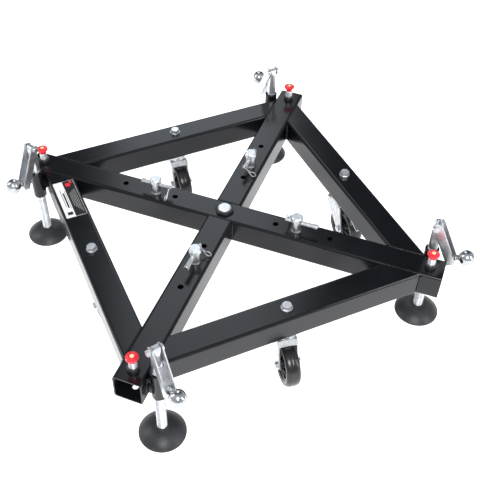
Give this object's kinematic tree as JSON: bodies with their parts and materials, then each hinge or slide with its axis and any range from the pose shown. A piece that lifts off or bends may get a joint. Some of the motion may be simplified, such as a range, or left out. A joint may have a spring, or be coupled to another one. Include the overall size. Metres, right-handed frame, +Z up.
{
  "type": "truss tower ground-support base",
  "caption": "Square-tube cross with a diagonal frame, pinned truss couplers, levelling jacks with folding ball-handled cranks, swivel castors and spring-plunger sockets.",
  "frame": {"origin": "centre of the cross, on the arms' top face; also the centre of both spare truss hole patterns", "axes": "+X and +Y along the arms, +Z up"},
  "size_m": [1.0568, 1.045, 0.2854],
  "materials": {
    "frame_black": "satin black powder coat",
    "zinc": "bright zinc plate",
    "chrome": "polished chrome",
    "black_steel": "blackened steel, satin",
    "pad_rubber": "matt rubber",
    "wheel_black": "glossy moulded plastic",
    "knob_red": "glossy red",
    "label_film": "printed satin film"
  },
  "bodies": {
    "base": {"arm_east_west": "frame_black", "arm_north": "frame_black", "arm_south": "frame_black", "side_tube_north_east": "frame_black", "side_tube_north_west": "frame_black", "side_tube_south_west": "frame_black", "side_tube_south_east": "frame_black", "centre_nut": "black_steel", "centre_screw": "zinc", "couplers": "zinc", "coupler_screws": "zinc", "cross_pins": "zinc", "spring_clips": "zinc", "plunger_collars": "black_steel", "plunger_barrels": "zinc", "jack_sleeves": "frame_black", "castor_bolts": "zinc", "castor_washers": "zinc", "castor_nuts": "zinc", "castor_raceways": "zinc", "label": "label_film"},
    "jack_east": {"jack_spindle_east": "zinc", "jack_foot_east": "pad_rubber"},
    "crank_east": {"crank_arm_east": "zinc", "crank_ball_east": "chrome"},
    "plunger_east": {"plunger_pin_east": "zinc", "plunger_knob_east": "knob_red"},
    "jack_north": {"jack_spindle_north": "zinc", "jack_foot_north": "pad_rubber"},
    "crank_north": {"crank_arm_north": "zinc", "crank_ball_north": "chrome"},
    "plunger_north": {"plunger_pin_north": "zinc", "plunger_knob_north": "knob_red"},
    "jack_west": {"jack_spindle_west": "zinc", "jack_foot_west": "pad_rubber"},
    "crank_west": {"crank_arm_west": "zinc", "crank_ball_west": "chrome"},
    "plunger_west": {"plunger_pin_west": "zinc", "plunger_knob_west": "knob_red"},
    "jack_south": {"jack_spindle_south": "zinc", "jack_foot_south": "pad_rubber"},
    "crank_south": {"crank_arm_south": "zinc", "crank_ball_south": "chrome"},
    "plunger_south": {"plunger_pin_south": "zinc", "plunger_knob_south": "knob_red"},
    "fork_north_east": {"castor_fork_north_east": "zinc", "castor_axle_north_east": "zinc"},
    "wheel_north_east": {"castor_wheel_north_east": "wheel_black"},
    "brake_north_east": {"brake_pedal_north_east": "zinc"},
    "fork_north_west": {"castor_fork_north_west": "zinc", "castor_axle_north_west": "zinc"},
    "wheel_north_west": {"castor_wheel_north_west": "wheel_black"},
    "fork_south_west": {"castor_fork_south_west": "zinc", "castor_axle_south_west": "zinc"},
    "wheel_south_west": {"castor_wheel_south_west": "wheel_black"},
    "brake_south_west": {"brake_pedal_south_west": "zinc"},
    "fork_south_east": {"castor_fork_south_east": "zinc", "castor_axle_south_east": "zinc"},
    "wheel_south_east": {"castor_wheel_south_east": "wheel_black"}
  },
  "joints": [
    {"name": "jack_east_lift", "type": "slide", "parent": "base", "child": "jack_east", "axis": [0, 0, 1], "range_m": [-0.012, 0.095]},
    {"name": "crank_east_fold", "type": "hinge", "parent": "jack_east", "child": "crank_east", "pos_m": [0.459, 0.047, 0.075], "axis": [-0.1045, -0.9945, 0], "range_deg": [0, 63]},
    {"name": "plunger_east_pull", "type": "slide", "parent": "base", "child": "plunger_east", "axis": [0, 0, 1], "range_m": [0, 0.012], "stiffness_N_per_m": 600, "springref_m": -0.008},
    {"name": "jack_north_lift", "type": "slide", "parent": "base", "child": "jack_north", "axis": [0, 0, 1], "range_m": [-0.012, 0.095]},
    {"name": "crank_north_fold", "type": "hinge", "parent": "jack_north", "child": "crank_north", "pos_m": [-0.047, 0.459, 0.075], "axis": [0.6947, 0.7193, 0], "range_deg": [0, 63]},
    {"name": "plunger_north_pull", "type": "slide", "parent": "base", "child": "plunger_north", "axis": [0, 0, 1], "range_m": [0, 0.012], "stiffness_N_per_m": 600, "springref_m": -0.008},
    {"name": "jack_west_lift", "type": "slide", "parent": "base", "child": "jack_west", "axis": [0, 0, 1], "range_m": [-0.012, 0.095]},
    {"name": "crank_west_fold", "type": "hinge", "parent": "jack_west", "child": "crank_west", "pos_m": [-0.459, -0.047, 0.075], "axis": [-0.9781, 0.2079, 0], "range_deg": [0, 63]},
    {"name": "plunger_west_pull", "type": "slide", "parent": "base", "child": "plunger_west", "axis": [0, 0, 1], "range_m": [0, 0.012], "stiffness_N_per_m": 600, "springref_m": -0.008},
    {"name": "jack_south_lift", "type": "slide", "parent": "base", "child": "jack_south", "axis": [0, 0, 1], "range_m": [-0.012, 0.095]},
    {"name": "crank_south_fold", "type": "hinge", "parent": "jack_south", "child": "crank_south", "pos_m": [0.047, -0.459, 0.075], "axis": [-0.5736, -0.8192, 0], "range_deg": [0, 63]},
    {"name": "plunger_south_pull", "type": "slide", "parent": "base", "child": "plunger_south", "axis": [0, 0, 1], "range_m": [0, 0.012], "stiffness_N_per_m": 600, "springref_m": -0.008},
    {"name": "castor_north_east_swivel", "type": "hinge", "parent": "base", "child": "fork_north_east", "pos_m": [0.2192, 0.2192, -0.07], "axis": [0, 0, 1], "continuous": true},
    {"name": "castor_north_east_roll", "type": "hinge", "parent": "fork_north_east", "child": "wheel_north_east", "pos_m": [0.24521, 0.19578, -0.137], "axis": [0.6691, 0.7431, 0], "continuous": true},
    {"name": "brake_north_east_press", "type": "hinge", "parent": "fork_north_east", "child": "brake_north_east", "pos_m": [0.23407, 0.20582, -0.0815], "axis": [0.6691, 0.7431, 0], "range_deg": [0, 6]},
    {"name": "castor_north_west_swivel", "type": "hinge", "parent": "base", "child": "fork_north_west", "pos_m": [-0.2192, 0.2192, -0.07], "axis": [0, 0, 1], "continuous": true},
    {"name": "castor_north_west_roll", "type": "hinge", "parent": "fork_north_west", "child": "wheel_north_west", "pos_m": [-0.19578, 0.19319, -0.137], "axis": [0.7431, 0.6691, 0], "continuous": true},
    {"name": "castor_south_west_swivel", "type": "hinge", "parent": "base", "child": "fork_south_west", "pos_m": [-0.2192, -0.2192, -0.07], "axis": [0, 0, 1], "continuous": true},
    {"name": "castor_south_west_roll", "type": "hinge", "parent": "fork_south_west", "child": "wheel_south_west", "pos_m": [-0.19239, -0.2417, -0.137], "axis": [0.6428, 0.766, 0], "continuous": true},
    {"name": "brake_south_west_press", "type": "hinge", "parent": "fork_south_west", "child": "brake_south_west", "pos_m": [-0.20388, -0.23206, -0.0815], "axis": [0.6428, 0.766, 0], "range_deg": [0, 6]},
    {"name": "castor_south_east_swivel", "type": "hinge", "parent": "base", "child": "fork_south_east", "pos_m": [0.2192, -0.2192, -0.07], "axis": [0, 0, 1], "continuous": true},
    {"name": "castor_south_east_roll", "type": "hinge", "parent": "fork_south_east", "child": "wheel_south_east", "pos_m": [0.23928, -0.24787, -0.137], "axis": [0.8192, 0.5736, 0], "continuous": true}
  ]
}
